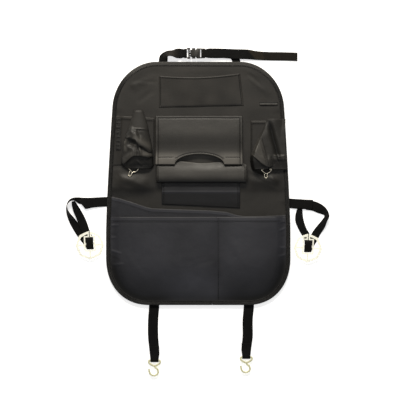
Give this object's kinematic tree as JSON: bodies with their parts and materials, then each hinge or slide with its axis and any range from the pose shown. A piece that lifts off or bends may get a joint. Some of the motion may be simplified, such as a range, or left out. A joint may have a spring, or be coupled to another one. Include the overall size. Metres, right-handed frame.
{
  "type": "car seat back organizer",
  "caption": "Flat black synthetic leather seat back organizer with pockets, a flap with an arched opening, folded cup pockets, hooks, straps and clear anchor discs",
  "frame": {"origin": "middle of the back of the panel, on the floor it lies on", "axes": "+X to the right of the face, +Y to the top of the face, +Z out of the face"},
  "size_m": [0.6442, 0.8038, 0.033],
  "materials": {
    "leather": "soft satin synthetic leather, fine grain",
    "tape": "matte woven tape",
    "webbing": "matte ribbed webbing",
    "buckle": "satin moulded plastic",
    "clear_plastic": "clear, slightly ivory moulded plastic",
    "nickel": "warm nickel plated wire"
  },
  "bodies": {
    "organizer": {"panel": "leather", "rear_pocket": "leather", "front_pocket": "leather", "upper_pocket": "leather", "slot_hem": "leather", "left_pocket_backing": "leather", "right_pocket_backing": "leather", "left_cup_pocket": "leather", "right_cup_pocket": "leather", "holder_pouch": "leather", "lower_flap": "leather", "arch_flap": "leather", "edge_binding": "tape", "left_gathered_elastic": "tape", "hook_tab_left": "webbing", "hook_tab_right": "webbing", "top_strap_left": "webbing", "top_strap_right": "webbing", "side_strap_left": "webbing", "side_strap_right": "webbing", "disc_loop_left": "webbing", "disc_loop_right": "webbing", "bottom_strap_left": "webbing", "bottom_strap_right": "webbing", "buckle_male": "buckle", "buckle_female": "buckle", "anchor_disc_left": "clear_plastic", "anchor_disc_right": "clear_plastic"},
    "metal_hook_left_body": {"metal_hook_left": "nickel"},
    "metal_hook_right_body": {"metal_hook_right": "nickel"},
    "bottom_hook_left_body": {"bottom_hook_left": "clear_plastic"},
    "bottom_hook_right_body": {"bottom_hook_right": "clear_plastic"}
  },
  "joints": [
    {"name": "metal_hook_left_swing", "type": "hinge", "parent": "organizer", "child": "metal_hook_left_body", "pos_m": [-0.158, 0.038, 0.0102], "axis": [-1, 0, 0], "range_deg": [0, 30]},
    {"name": "metal_hook_right_swing", "type": "hinge", "parent": "organizer", "child": "metal_hook_right_body", "pos_m": [0.167, 0.035, 0.0102], "axis": [-1, 0, 0], "range_deg": [0, 50]},
    {"name": "bottom_hook_left_swing", "type": "hinge", "parent": "organizer", "child": "bottom_hook_left_body", "pos_m": [-0.107, -0.433, 0.00438], "axis": [-1, 0, 0], "range_deg": [0, 120]},
    {"name": "bottom_hook_right_swing", "type": "hinge", "parent": "organizer", "child": "bottom_hook_right_body", "pos_m": [0.1175, -0.425, 0.00438], "axis": [-1, 0, 0], "range_deg": [0, 120]}
  ]
}
